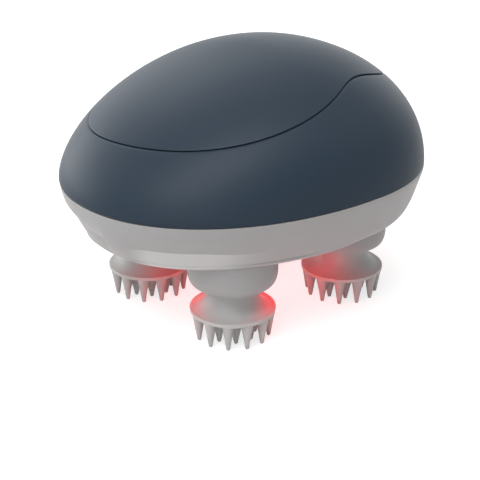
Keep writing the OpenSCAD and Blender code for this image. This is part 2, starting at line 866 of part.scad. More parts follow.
module battery_leads() {
    bend = 4.4;
    start = [tray_middle + battery_wid / 2 + solder, 0, deck_top + tray_t + battery_t - 2];
    color("#b03030") for (y = [8, 10]) lead(curve([
        start + [0, y, 0],
        start + [bend, y, 0],
        start + [bend, y, 2 * bend],
        over_socket(y, 3),
        over_socket(y, 0, socket_rise / 2),
        socket(y)
    ]));
}

// Up through the hollow axle of the drive gear
module light_leads() {
    side = -7;
    color("#b03030") for (y = [-0.7, 0.7]) lead(concat(
        [[centre[0], y, under_z]],
        curve([
            [centre[0], y, deck_top + axle_cap_t],
            [centre[0], y, board_top],
            [centre[0], y + side, board_top + socket_rise],
            over_socket(y + side),
            socket(y + side)
        ])
    ));
}

// Round one side of the motor
module switch_leads() {
    side = -14;
    back = [-cos(button_tilt), 0, -sin(button_tilt)];
    from = button_at + (pod_depth + board_t + solder) * back;
    color("#303030") for (k = [-1, 1]) lead(curve([
        from + [0, k * pair - 3, 0],
        from + 2 * back + [0, k * pair - 3, 0],
        [pinion_at[0] + motor_r, k * pair - motor_r - 6, from[2]],
        [pinion_at[0] - motor_r / 2, k * pair - motor_r - 10, from[2]],
        over_socket(k * pair + side, motor_r, 1.5 * socket_rise),
        over_socket(k * pair + side),
        socket(k * pair + side)
    ]));
}

// Round the other side of the motor
module charging_leads() {
    side = 16;
    bend = 1.5;
    from = [seat_face_x - seat_depth - contact_tail - solder, 0, seat_z];
    color("#303030") for (k = [-1, 1]) lead(curve([
        from + [0, k * contact_y, 0],
        from + [-bend, k * contact_y, 0],
        from + [-bend, motor_r + k * contact_y, 3],
        [pinion_at[0] + motor_r, 2.4 * motor_r + k, seat_z + 9],
        over_socket(k + side + 4, motor_r + 6),
        over_socket(k + side),
        socket(k + side)
    ]));
}

// ---- spindles and heads ---------------------------------------------------------------------
// Stub with a flat, shoulder under the seal, shaft through the bush and journal in the deck
module spindle(k) {
    color(steel) at_each([head_at[k]]) {
        difference() {
            disc(stub_z, stub_len + 0.1, stub_r);
            translate([-stub_r, stub_r - flat_depth, stub_z - 1]) {
                cube([2 * stub_r, stub_r, stub_len + 0.9]);
            }
        }
        disc(shoulder_z, shoulder_t, stub_r + 1.2);
        disc(shoulder_z + 0.1, deck_z - 0.3 - shoulder_z - 0.1, shaft_r);
        disc(shoulder_z + 0.2, deck_top - shoulder_z - 0.2, journal_r);
    }
}

module spindle_gear(k) {
    p = head_at[k];
    a = atan2(p[1], p[0] - centre[0]);
    color(nylon) at_each([p]) rotate([0, 0, mesh_turn(a, spindle_teeth)]) gear(spindle_teeth, shaft_r);
}

module spindle_bush(k) {
    color(gold) at_each([head_at[k]]) difference() {
        union() {
            disc(recess_top + seal_h, floor_z + 0.1 - recess_top - seal_h, bush_r);
            disc(floor_z, flange_t, bush_r + 1.2);
        }
        disc(recess_top, through, shaft_r + run_gap);
    }
}

module lip_seal(k) {
    color(rubber) at_each([head_at[k]]) {
        tube(recess_top + 0.1, seal_h - 0.2, seal_r - 0.02, shaft_r + run_gap);
    }
}

// Spike from its round tip at z = 0 up into the disc, with a small flare at the root
module spike() {
    under = rim_z - rim_t;
    flare_r = spike_root_r + 0.35;
    rotate_extrude($fn = fine / 2) polygon(concat(
        [for (a = [-90:22.5:0]) [spike_tip_r * cos(a), spike_tip_r * (1 + sin(a))]],
        [[spike_root_r, under - 0.5], [flare_r, under], [flare_r, under + 0.5], [0, under + 0.5]]
    ));
}

// Copies around the axis of a head, at radius r
module around(count, r) {
    for (i = [0:count - 1]) rotate([0, 0, 360 * i / count]) translate([r, 0, 0]) children();
}

module head_blank() {
    under = rim_z - rim_t;
    edge = 0.4;
    reach = rim_r - neck_r;
    drop = flare_z - rim_z;
    rotate_extrude($fn = fine) polygon(concat(
        [[0, head_top], [0, under], [rim_r - edge, under], [rim_r, under + edge], [rim_r, rim_z - 0.3]],
        [for (a = [80:-10:0]) [rim_r - reach * cos(a), flare_z - drop * sin(a)]],
        [[neck_r, head_top - edge], [neck_r - edge, head_top]]
    ));
}

// Socket for the stub of a spindle, with its flat
module head_socket() {
    socket_r = stub_r + run_gap;
    socket_z = stub_z - 0.4;
    difference() {
        disc(socket_z, through, socket_r);
        translate([-socket_r, stub_r - flat_depth + run_gap, socket_z - 1]) {
            cube([2 * socket_r, stub_r, head_top - socket_z + 2]);
        }
    }
}

module massage_head(k) {
    color("#b9b6b6") at_each([head_at[k]]) difference() {
        union() {
            head_blank();
            rotate([0, 0, spike_phase]) {
                around(outer_spikes, outer_ring_r) spike();
                around(inner_spikes, inner_ring_r) spike();
            }
            spike();
        }
        head_socket();
    }
}

top_cover();
upper_housing();
base_housing();
housing_gasket();
gear_deck();
deck_screws();
case_screws();
drive_axle();
drive_gear();
gearbox_shaft();
drive_pinion();
gearbox_case();
motor();
motor_strap();
battery_tray();
battery();
control_board();
board_parts();
short_screws();
button_bezel();
power_button();
button_switch();
button_board();
status_light();
charging_seat();
charging_contacts();
seat_magnet();
light_window();
light_board();
light_diodes();
motor_leads();
battery_leads();
light_leads();
switch_leads();
charging_leads();
for (k = [1:4]) spindle(k - 1);
for (k = [1:4]) spindle_gear(k - 1);
for (k = [1:4]) spindle_bush(k - 1);
for (k = [1:4]) lip_seal(k - 1);
for (k = [1:4]) massage_head(k - 1);
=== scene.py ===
"""Looks of the scalp massager: casing shells, spiked heads, materials, studio and camera.

Lengths are millimetres and MM turns them into metres; lamps and shaders work in metres.
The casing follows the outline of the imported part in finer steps. The seam, the crescents,
the lower edge of the base, the turrets and the spikes are shaped more finely than there.
"""

import json
import math

import bmesh
import bpy
import numpy as np
from mathutils import Matrix, Vector

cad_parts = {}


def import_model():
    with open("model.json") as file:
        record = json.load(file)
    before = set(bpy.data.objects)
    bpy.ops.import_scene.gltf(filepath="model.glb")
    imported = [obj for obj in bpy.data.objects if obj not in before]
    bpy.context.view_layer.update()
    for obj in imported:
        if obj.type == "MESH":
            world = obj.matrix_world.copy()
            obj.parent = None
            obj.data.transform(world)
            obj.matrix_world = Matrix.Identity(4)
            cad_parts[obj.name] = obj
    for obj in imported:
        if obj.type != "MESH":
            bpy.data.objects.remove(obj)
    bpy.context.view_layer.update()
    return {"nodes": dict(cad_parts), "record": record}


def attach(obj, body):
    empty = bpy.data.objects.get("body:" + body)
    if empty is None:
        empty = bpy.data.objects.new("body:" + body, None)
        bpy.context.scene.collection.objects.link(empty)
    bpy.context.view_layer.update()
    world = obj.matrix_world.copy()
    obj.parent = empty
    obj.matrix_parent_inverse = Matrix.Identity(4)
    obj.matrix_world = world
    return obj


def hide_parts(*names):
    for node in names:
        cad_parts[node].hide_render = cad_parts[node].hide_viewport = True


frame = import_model()
MM = 0.001

# ---- sizes of the casing -------------------------------------------------------------------------
BODY_LEN, BODY_WID = 114.6, 102.5
TOP_Z, WIDEST_Z, UNDER_Z = 80.8, 45.2, 27.3
WIDEST_X = 10.1
REAR_LEN = BODY_LEN / 2 + WIDEST_X
FRONT_LEN = BODY_LEN / 2 - WIDEST_X
HALF_WID = BODY_WID / 2
WALL, FLOOR_T = 2.4, 2.0
# Play between a hole in the casing and the piece in it.
FIT = 0.05

# Powers of the curves from the widest line up to the apex, and of the oval plan.
REAR_POW, FRONT_POW, SIDE_POW = (1.65, 1.6), (2.09, 2.19), (2.17, 2.11)
PLAN_POW = 2.1
# How far the middle of the plan moves forward towards the apex and towards the underside.
APEX_SHIFT, FOOT_SHIFT = 1.4, 6.3
# How far the base draws in towards the underside, with the power of each curve.
REAR_TAPER, REAR_TUCK, FRONT_TUCK, SIDE_TUCK = 1.1, (2.0, 5.7), (11.6, 5.9), (9.1, 1.08)
# Rounding of the lower edge at the rear and at the front, and the turns between which it changes.
REAR_ROUND, FRONT_ROUND = 1.8, 4.4
FRONT_ROUND_TURN, REAR_ROUND_TURN = 88, 105

# The parting line between housing and base, and the waves of the seam between cover and housing.
PARTING_Z, PARTING_TILT, PARTING_HALF_GAP = WIDEST_Z + 0.4, 1.1, 0.03
SEAM_SHARE, SEAM_WAVES, SEAM_LEAN = 0.642, (0.127, -0.125, -0.048, 0.0107), (-0.015, 0.025, -0.006)
SEAM_GAP, SEAM_EDGE = 0.3, 0.28

# Each crescent: plan angles of its deep end and its fading end, and the lengths of both ramps.
CRESCENTS = ((191.0, 234.0, 13.0, 16.0), (187.0, 150.0, 4.0, 16.0))
CRESCENT_TOP, CRESCENT_LINE, CRESCENT_DEPTH = 40.4, 34.7, 1.7

# The ridge along the lower edge: height, top, upper slope and lower slope, and the turns it fills.
BEAD, BEAD_TOP, BEAD_RISE, BEAD_FALL = 0.4, 0.75, 0.45, 1.4
BEAD_FROM, BEAD_TO, BEAD_FADE = 104, 176, 12

# Middle of the underside, and the axes of the four heads round it.
CENTRE = np.array([2.8, 0.0])
HEADS = [(-20.2, -20.8), (-20.2, 20.8), (25.8, -20.8), (25.8, 20.8)]

SEGS = 288
PHI = np.arange(SEGS) * 2 * math.pi / SEGS
QUARTER_TURN = math.pi / 2


# ---- outline of the casing -----------------------------------------------------------------------
def smooth(s):
    """Smooth step from 0 to 1."""
    s = np.clip(s, 0, 1)
    return s * s * (3 - 2 * s)


def quarter(t, p):
    """Quarter of a superellipse: 1 at t = 0, falling to 0 at t = 1."""
    return np.maximum(0, 1 - t ** p[0]) ** (1 / p[1])


def tuck(t, curve):
    """Distance drawn in at share t of the way down, for a curve of (distance, power)."""
    return curve[0] * t ** curve[1]


def skin(z, phi, off=0.0):
    """Point of the casing at height z and plan angle phi, moved inwards by off."""
    z, phi, off = np.broadcast_arrays(np.asarray(z, float), phi, off)
    up = np.clip((z - WIDEST_Z) / (TOP_Z - off - WIDEST_Z), 0, 1)
    down = np.clip((WIDEST_Z - z) / (WIDEST_Z - UNDER_Z), 0, 1)
    over = z > WIDEST_Z
    mid = np.where(over, WIDEST_X + APEX_SHIFT * up * up, WIDEST_X + FOOT_SHIFT * down * down)
    low_rear = REAR_LEN - off - REAR_TAPER * down - tuck(down, REAR_TUCK)
    low_front = FRONT_LEN - off - FOOT_SHIFT * down * down - tuck(down, FRONT_TUCK)
    low_side = HALF_WID - off - tuck(down, SIDE_TUCK)
    rear = np.where(over, (REAR_LEN - off) * quarter(up, REAR_POW), low_rear)
    front = np.where(over, (FRONT_LEN - off) * quarter(up, FRONT_POW), low_front)
    side = np.where(over, (HALF_WID - off) * quarter(up, SIDE_POW), low_side)
    c, s = np.cos(phi), np.sin(phi)
    r = (np.abs(c) ** PLAN_POW + np.abs(s) ** PLAN_POW) ** (-1 / PLAN_POW)
    return np.stack([mid + np.where(c > 0, front, rear) * r * c, side * r * s, z], -1)


def parting(phi):
    """Height of the line between housing and base."""
    return PARTING_Z + math.tan(math.radians(PARTING_TILT)) * skin(WIDEST_Z, phi)[..., 0]


def seam(phi):
    """Height of the line between cover and housing: low at the rear, lower still on the +Y side."""
    waves = sum(share * np.cos((k + 1) * phi) for k, share in enumerate(SEAM_WAVES))
    lean = sum(share * np.sin((k + 1) * phi) for k, share in enumerate(SEAM_LEAN))
    return WIDEST_Z + (TOP_Z - WIDEST_Z) * (SEAM_SHARE + waves + lean)


def turn_from_front(phi):
    """Degrees between plan angle phi and the +X end, on either side."""
    return np.degrees(np.arccos(np.cos(phi)))


def edge_round(phi):
    """Radius of the lower edge of the base."""
    share = (turn_from_front(phi) - FRONT_ROUND_TURN) / (REAR_ROUND_TURN - FRONT_ROUND_TURN)
    return FRONT_ROUND + (REAR_ROUND - FRONT_ROUND) * smooth(share)


def crescent(z, phi):
    """Depth of the two shallow crescents in the flank of the base."""
    deg = np.degrees(phi)
    share = np.zeros_like(deg)
    for start, end, deep, fade in CRESCENTS:
        way = math.copysign(1, end - start)
        one = smooth(way * (deg - start) / deep) * smooth(way * (end - deg) / fade)
        share = np.maximum(share, one)
    low = UNDER_Z + edge_round(phi)
    rise = (CRESCENT_TOP - z) / (CRESCENT_TOP - CRESCENT_LINE)
    fall = (z - low) / (CRESCENT_LINE - low)
    return CRESCENT_DEPTH * share * np.clip(np.minimum(rise, fall), 0, 1)


def bead(z, phi):
    """Height of the low ridge on the lower edge of the base, along both long sides."""
    turn = turn_from_front(phi)
    share = smooth((turn - BEAD_FROM) / BEAD_FADE) * smooth((BEAD_TO - turn) / BEAD_FADE)
    low = UNDER_Z + edge_round(phi)
    above = smooth((low + BEAD_TOP - z) / BEAD_RISE)
    below = smooth((z - low + BEAD_FALL) / BEAD_FALL)
    return BEAD * share * np.where(z > low, above, below)


# ---- mesh helpers --------------------------------------------------------------------------------
def piece(name, verts, faces):
    """Mesh object from places in millimetres."""
    mesh = bpy.data.meshes.new(name)
    mesh.from_pydata((np.asarray(verts) * MM).tolist(), [], faces)
    obj = bpy.data.objects.new(name, mesh)
    bpy.context.scene.collection.objects.link(obj)
    return obj


def outward(obj):
    """Turns all faces of a closed mesh to the outside."""
    bm = bmesh.new()
    bm.from_mesh(obj.data)
    bmesh.ops.recalc_face_normals(bm, faces=bm.faces)
    if bm.calc_volume(signed=True) < 0:
        bmesh.ops.reverse_faces(bm, faces=bm.faces)
    bm.to_mesh(obj.data)
    bm.free()


def loft(name, rings, tips=None):
    """Closed skin through rings; tips close its first and last ring, or the last joins the first."""
    n, m = len(rings[0]), len(rings)
    verts = np.concatenate([np.asarray(r) for r in rings])
    i = np.arange(n)
    j = (i + 1) % n
    faces = []
    for k in range(m if tips is None else m - 1):
        a, b = k * n, ((k + 1) % m) * n
        faces += np.stack([a + i, b + i, b + j, a + j], -1).tolist()
    if tips is not None:
        verts = np.concatenate([verts, np.asarray(tips, float)])
        last = (m - 1) * n
        faces += [[m * n, int(p), int(q)] for p, q in zip(i, j)]
        faces += [[m * n + 1, last + int(q), last + int(p)] for p, q in zip(i, j)]
    obj = piece(name, verts, faces)
    outward(obj)
    return obj


def revolve(name, profile, count):
    """Solid of revolution about Z of a profile of (radius, height) from axis to axis."""
    turn = np.arange(count) * 2 * math.pi / count
    rings = [
        np.stack([r * np.cos(turn), r * np.sin(turn), np.full(count, z)], -1)
        for r, z in profile[1:-1]
    ]
    return loft(name, rings, [(0, 0, profile[0][1]), (0, 0, profile[-1][1])])


def cylinder(start, axis, radius, length, count=64):
    """Round bar from start along axis."""
    obj = revolve("bore", [(0, 0), (radius, 0), (radius, length), (0, length)], count)
    turn = Vector((0, 0, 1)).rotation_difference(Vector(axis)).to_matrix().to_4x4()
    obj.data.transform(Matrix.Translation(Vector(start) * MM) @ turn)
    return obj


def drop(obj):
    """Removes an object, and its mesh if nothing else uses it."""
    mesh = obj.data
    bpy.data.objects.remove(obj)
    if mesh.users == 0:
        bpy.data.meshes.remove(mesh)


def joined(objs):
    """One object from several meshes."""
    bm = bmesh.new()
    for o in objs:
        mesh = o.data
        mesh.transform(o.matrix_world)
        bm.from_mesh(mesh)
    keep = objs[0]
    keep.matrix_world = Matrix.Identity(4)
    bm.to_mesh(keep.data)
    bm.free()
    for o in objs[1:]:
        drop(o)
    return keep


def boolean(obj, cutter, operation):
    """Applies one boolean to obj and removes the cutter."""
    mod = obj.modifiers.new("cut", "BOOLEAN")
    mod.operation = operation
    mod.solver = "MANIFOLD"
    mod.object = cutter
    bpy.context.view_layer.update()
    graph = bpy.context.evaluated_depsgraph_get()
    done = bpy.data.meshes.new_from_object(obj.evaluated_get(graph))
    obj.modifiers.clear()
    old = obj.data
    done.name = old.name
    obj.data = done
    bpy.data.meshes.remove(old)
    drop(cutter)


def finish(obj, look, body, replaced, angle=32):
    """Gives a piece its material, its sharp edges and its place in the frame."""
    obj.data.materials.clear()
    obj.data.materials.append(look)
    obj.data.polygons.foreach_set("use_smooth", [True] * len(obj.data.polygons))
    obj.data.set_sharp_from_angle(angle=math.radians(angle))
    obj.data.update()
    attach(obj, body)
    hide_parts(*replaced)


# ---- materials -----------------------------------------------------------------------------------
GRAIN_DEPTH = 0.00002
GLOSS_VARY = 0.06


def material(name, colour, rough=0.5, metal=0.0, grain=900.0, bump=0.15, vary=0.06, specular=0.5,
             coat=0.0, glow=None, glow_strength=0.0, soft=0.0, soft_radius=0.002, stretch=(1, 1, 1),
             second=None, second_scale=60.0):
    """Moulded or metal surface: a cloudy colour, an uneven gloss and a fine grain in relief."""
    mat = bpy.data.materials.new(name)
    mat.use_nodes = True
    nodes, links = mat.node_tree.nodes, mat.node_tree.links
    nodes.clear()
    out = nodes.new("ShaderNodeOutputMaterial")
    shader = nodes.new("ShaderNodeBsdfPrincipled")
    links.new(shader.outputs["BSDF"], out.inputs["Surface"])
    place = nodes.new("ShaderNodeTexCoord")
    mapping = nodes.new("ShaderNodeMapping")
    mapping.inputs["Scale"].default_value = stretch
    links.new(place.outputs["Object"], mapping.inputs["Vector"])

    cloud = nodes.new("ShaderNodeTexNoise")
    cloud.inputs["Scale"].default_value = second_scale
    cloud.inputs["Detail"].default_value = 3
    links.new(mapping.outputs["Vector"], cloud.inputs["Vector"])
    tint = nodes.new("ShaderNodeValToRGB")
    first = [c * (1 - vary) for c in colour]
    last = [min(1.0, c * (1 + vary)) for c in second or colour]
    tint.color_ramp.elements[0].position = 0.3
    tint.color_ramp.elements[1].position = 0.7
    tint.color_ramp.elements[0].color = (*first, 1)
    tint.color_ramp.elements[1].color = (*last, 1)
    links.new(cloud.outputs["Fac"], tint.inputs["Fac"])
    links.new(tint.outputs["Color"], shader.inputs["Base Color"])

    fine = nodes.new("ShaderNodeTexNoise")
    fine.inputs["Scale"].default_value = grain
    fine.inputs["Detail"].default_value = 4
    fine.inputs["Roughness"].default_value = 0.6
    links.new(mapping.outputs["Vector"], fine.inputs["Vector"])
    gloss = nodes.new("ShaderNodeMapRange")
    gloss.inputs["To Min"].default_value = max(0.02, rough - GLOSS_VARY)
    gloss.inputs["To Max"].default_value = min(1.0, rough + GLOSS_VARY)
    links.new(fine.outputs["Fac"], gloss.inputs["Value"])
    links.new(gloss.outputs["Result"], shader.inputs["Roughness"])
    relief = nodes.new("ShaderNodeBump")
    relief.inputs["Strength"].default_value = bump
    relief.inputs["Distance"].default_value = GRAIN_DEPTH
    links.new(fine.outputs["Fac"], relief.inputs["Height"])
    links.new(relief.outputs["Normal"], shader.inputs["Normal"])

    shader.inputs["Metallic"].default_value = metal
    shader.inputs["Specular IOR Level"].default_value = specular
    shader.inputs["Coat Weight"].default_value = coat
    if soft:
        shader.inputs["Subsurface Weight"].default_value = soft
        shader.inputs["Subsurface Radius"].default_value = (1.0, 0.55, 0.45)
        shader.inputs["Subsurface Scale"].default_value = soft_radius
    if glow:
        shader.inputs["Emission Color"].default_value = (*glow, 1)
        shader.inputs["Emission Strength"].default_value = glow_strength
    return mat


def ramp_node(nodes, links, value, low, high):
    """Smooth rise from 0 to 1 as value goes from low to high."""
    node = nodes.new("ShaderNodeMapRange")
    node.interpolation_type = "SMOOTHSTEP"
    node.inputs["From Min"].default_value = low
    node.inputs["From Max"].default_value = high
    links.new(value, node.inputs["Value"])
    return node.outputs["Result"]


def arithmetic(nodes, links, operation, *values):
    """Output of a math node whose inputs are numbers or sockets."""
    node = nodes.new("ShaderNodeMath")
    node.operation = operation
    for socket, value in zip(node.inputs, values):
        if isinstance(value, (int, float)):
            socket.default_value = value
        else:
            links.new(value, socket)
    return node.outputs["Value"]


def object_place(mat):
    """The x, y and z sockets of the place on the object, in metres."""
    nodes, links = mat.node_tree.nodes, mat.node_tree.links
    place = next(n for n in nodes if n.type == "TEX_COORD")
    split = nodes.new("ShaderNodeSeparateXYZ")
    links.new(place.outputs["Object"], split.inputs[0])
    return split.outputs


def paint_light_and_shade(mat, share, factor):
    """Multiplies the colour of a material by factor where share is 1: painted light above 1, painted
    shade below.
    """
    nodes, links = mat.node_tree.nodes, mat.node_tree.links
    shader = next(n for n in nodes if n.type == "BSDF_PRINCIPLED")
    plain = shader.inputs["Base Color"].links[0].from_socket
    mix = nodes.new("ShaderNodeMix")
    mix.data_type = "RGBA"
    mix.blend_type = "MULTIPLY"
    links.new(share, mix.inputs["Factor"])
    links.new(plain, mix.inputs["A"])
    mix.inputs["B"].default_value = (factor, factor, factor, 1)
    links.new(mix.outputs["Result"], shader.inputs["Base Color"])


# Painted light on the lip under the first crescent, lightening its colour for the light it catches:
# its strength, the lengths of the ramps at its two ends in degrees, the heights between which it
# fades out below, and how sharp its upper line is.
LIP_PAINTED_LIGHT, LIP_BEGIN, LIP_FADE = 1.55, 8, 20
LIP_FOOT, LIP_HEAD, LIP_BLUR = 27.5, 29.0, 0.1
# Painted shade on the heads towards the neck, where the casing above shades them: its strength, and
# the heights between which it sets in.
NECK_PAINTED_SHADE, NECK_FOOT, NECK_HEAD = 0.93, 9.8, 11.8


def paint_light_on_lip(mat):
    """Painted light: the lip under the crescent is painted lighter than the rest of the base, for
    the light it catches.
    """
    nodes, links = mat.node_tree.nodes, mat.node_tree.links
    x, y, z = object_place(mat)
    along = arithmetic(nodes, links, "SUBTRACT", x, float(CENTRE[0]) * MM)
    across = arithmetic(nodes, links, "MULTIPLY", y, -1.0)
    turn = arithmetic(nodes, links, "ARCTAN2", across, along)
    start, end = (math.radians(360 - deg) for deg in CRESCENTS[0][:2])
    begin, fade = math.radians(LIP_BEGIN), math.radians(LIP_FADE)
    line, blur = CRESCENT_LINE * MM, LIP_BLUR * MM
    shares = (
        ramp_node(nodes, links, turn, start, start - begin),
        ramp_node(nodes, links, turn, end - fade / 3, end + fade),
        ramp_node(nodes, links, z, line + blur, line - blur),
        ramp_node(nodes, links, z, LIP_FOOT * MM, LIP_HEAD * MM),
    )
    share = shares[0]
    for other in shares[1:]:
        share = arithmetic(nodes, links, "MULTIPLY", share, other)
    # Painted light: the colour of the lip is raised by this factor.
    paint_light_and_shade(mat, share, LIP_PAINTED_LIGHT)


def paint_shade_on_neck(mat):
    """Painted shade: the heads are painted darker towards the neck than at the rim, for the shade
    under the casing.
    """
    nodes, links = mat.node_tree.nodes, mat.node_tree.links
    z = object_place(mat)[2]
    # Painted shade: the upper part of each head is darkened by this factor.
    paint_light_and_shade(mat, ramp_node(nodes, links, z, NECK_FOOT * MM, NECK_HEAD * MM), NECK_PAINTED_SHADE)


# The look of each material slot.
LOOKS = {
    "dark_shell": dict(colour=(0.0155, 0.0265, 0.0405), rough=0.46, grain=2600, bump=0.10,
                       vary=0.02, specular=0.15),
    "light_shell": dict(colour=(0.276, 0.271, 0.270), grain=2600, bump=0.10, vary=0.012),
    "head_rubber": dict(colour=(0.385, 0.385, 0.38), rough=0.55, grain=1800, bump=0.08,
                        vary=0.015, soft=0.35, soft_radius=0.0025),
    "red_lens": dict(colour=(0.62, 0.03, 0.035), rough=0.3, grain=400, vary=0.08, bump=0.05,
                     glow=(1.0, 0.06, 0.07), glow_strength=1.6),
    "soft_seal": dict(colour=(0.03, 0.03, 0.035), rough=0.65, grain=2200, bump=0.2),
    "inner_plastic": dict(colour=(0.06, 0.065, 0.07), rough=0.55, grain=1500, bump=0.2),
    "gear_nylon": dict(colour=(0.72, 0.69, 0.61), rough=0.42, grain=1200, bump=0.1, soft=0.1),
    "shaft_steel": dict(colour=(0.56, 0.57, 0.59), rough=0.26, metal=1, grain=500,
                        stretch=(1, 1, 14)),
    "screw_steel": dict(colour=(0.50, 0.51, 0.53), rough=0.34, metal=1, grain=1400, bump=0.12),
    "motor_steel": dict(colour=(0.47, 0.48, 0.50), rough=0.36, metal=1, grain=420,
                        stretch=(1, 1, 10)),
    "bush_brass": dict(colour=(0.74, 0.53, 0.24), rough=0.34, metal=1, grain=1500, bump=0.2),
    "contact_brass": dict(colour=(0.86, 0.64, 0.30), rough=0.22, metal=1, grain=1300, bump=0.1),
    "battery_can": dict(colour=(0.08, 0.17, 0.34), rough=0.4, grain=700, bump=0.1, coat=0.3),
    "board": dict(colour=(0.02, 0.13, 0.06), rough=0.42, grain=1100, bump=0.25, coat=0.2,
                  second=(0.03, 0.19, 0.09), second_scale=420),
    "chip": dict(colour=(0.022, 0.022, 0.024), grain=2600, bump=0.2),
    "bezel_plastic": dict(colour=(0.026, 0.030, 0.036), rough=0.34, grain=2200, bump=0.08),
    "button_plastic": dict(colour=(0.055, 0.07, 0.09), rough=0.42, grain=2600, bump=0.12,
                           vary=0.03),
    "status_lens": dict(colour=(0.80, 0.88, 0.93), rough=0.18, grain=500, bump=0.03,
                        glow=(0.55, 0.8, 1.0), glow_strength=0.35),
    "magnet": dict(colour=(0.42, 0.42, 0.43), rough=0.38, metal=1, bump=0.2),
    "diode": dict(colour=(0.90, 0.86, 0.76), rough=0.2, glow=(1.0, 0.12, 0.12),
                  glow_strength=2.0),
    "lead": dict(colour=(0.36, 0.03, 0.03), rough=0.45, grain=1700, second=(0.42, 0.04, 0.04)),
}
SLOTS = {name: material(name, **look) for name, look in LOOKS.items()}
DARK, LIGHT, RUBBER = SLOTS["dark_shell"], SLOTS["light_shell"], SLOTS["head_rubber"]
# Painted light on the lip of the base.
paint_light_on_lip(LIGHT)
# Painted shade on the heads towards the neck.
paint_shade_on_neck(RUBBER)

for part in frame["record"]["subparts"]:
    node = frame["nodes"][part["node"]]
    node.data.materials.clear()
    node.data.materials.append(SLOTS[part["material_slot"]])


# ---- top cover -----------------------------------------------------------------------------------
def edge(line, side, radius=SEAM_EDGE, steps=4):
    """Rings of a rounded edge from the skin to the face at the line; side is +1 above the line."""
    return [
        skin(line + side * radius * (1 - math.sin(a)), PHI, radius * (1 - math.cos(a)))
        for a in (k * math.pi / 2 / steps for k in range(steps + 1))
    ]


def dome(bottom, top, count, off):
    """Rings from the height line bottom up to the flat line top, closing in at the apex."""
    steps = np.linspace(0, 1, count + 1)[:-1]
    return [skin(bottom + (top - bottom) * (1 - (1 - s) ** 2), PHI, off) for s in steps]


# The lip that centres the cover in the housing: play, thickness, how far it reaches below the seam
# and above it, and where the inner face of the cover begins.
LIP_PLAY, LIP_T, LIP_DEPTH, LIP_ROOT, INNER_START = 0.4, 1.4, 3, 1.2, 1.6
APEX_X = WIDEST_X + APEX_SHIFT
ledge = seam(PHI) + SEAM_GAP / 2
lip_off = WALL + LIP_PLAY
cover_rings = dome(ledge + SEAM_EDGE, TOP_Z, 56, 0.0)[::-1]
cover_rings += edge(ledge, 1)[1:]
cover_rings += [skin(ledge, PHI, lip_off), skin(seam(PHI) - LIP_DEPTH, PHI, lip_off)]
cover_rings += [skin(seam(PHI) + rise, PHI, lip_off + LIP_T) for rise in (-LIP_DEPTH, LIP_ROOT)]
cover_rings += dome(seam(PHI) + INNER_START, TOP_Z - WALL, 24, WALL)
cover = loft("cover_shell", cover_rings, [(APEX_X, 0, TOP_Z), (APEX_X, 0, TOP_Z - WALL)])
finish(cover, DARK, "casing", ["top_cover"])

# ---- upper housing -------------------------------------------------------------------------------
HOUSING_EDGE = 0.5
low, high = parting(PHI) + PARTING_HALF_GAP, seam(PHI) - SEAM_GAP / 2
wall_height = high - low - (HOUSING_EDGE + SEAM_EDGE)
housing_rings = edge(low, 1, radius=HOUSING_EDGE)[::-1]
housing_rings += [
    skin(low + HOUSING_EDGE + wall_height * s, PHI, 0) for s in np.linspace(0, 1, 34)[1:-1]
]
housing_rings += edge(high, -1)
housing_rings += [skin(high + (low - high) * s, PHI, WALL) for s in np.linspace(0, 1, 14)]
housing = loft("housing_shell", housing_rings)

# The button below the seam at the front end, and the status light beside its bezel.
BUTTON_DROP, BEZEL_R = 7.6, 6.2
STATUS_R, STATUS_GAP = 1.0, 3.2
# How far their bores reach to either side of the surface.
BORE_REACH = 10
BUTTON_Z = float(seam(0.0)) - BUTTON_DROP
STATUS_TURN = math.asin((BEZEL_R + STATUS_GAP) / float(skin(BUTTON_Z, QUARTER_TURN)[1]))


def facing(z, phi):
    """Place on the casing at height z and plan angle phi, and its outward direction."""
    a = skin(z, phi + 0.02) - skin(z, phi - 0.02)
    b = skin(z + 1, phi) - skin(z - 1, phi)
    n = np.cross(a, b)
    return skin(z, phi), n / np.linalg.norm(n)


for turn, radius in ((0.0, BEZEL_R + FIT), (STATUS_TURN, STATUS_R + FIT)):
    at, out_way = facing(BUTTON_Z, turn)
    bar = cylinder(at - out_way * BORE_REACH, out_way, radius, 2 * BORE_REACH)
    boolean(housing, bar, "DIFFERENCE")
finish(housing, DARK, "casing", ["upper_housing"])

# ---- base ----------------------------------------------------------------------------------------
rim = parting(PHI) - PARTING_HALF_GAP
low = UNDER_Z + edge_round(PHI)
RIM_EDGE = 0.1


def flank(z):
    """One ring of the side of the base at height z."""
    return skin(z, PHI, crescent(z, PHI) - bead(z, PHI))


def lower_edge(a):
    """One ring of the rounded lower edge, from the side at a = 0 to the underside."""
    r = edge_round(PHI)
    z = UNDER_Z + r * (1 - math.sin(a))
    return skin(z, PHI, r * (1 - math.cos(a)) - bead(z, PHI))


def between(start, end, count):
    """Flank rings from below the height start down to the height end."""
    return [flank(start + (end - start) * s) for s in np.linspace(0, 1, count)[1:]]


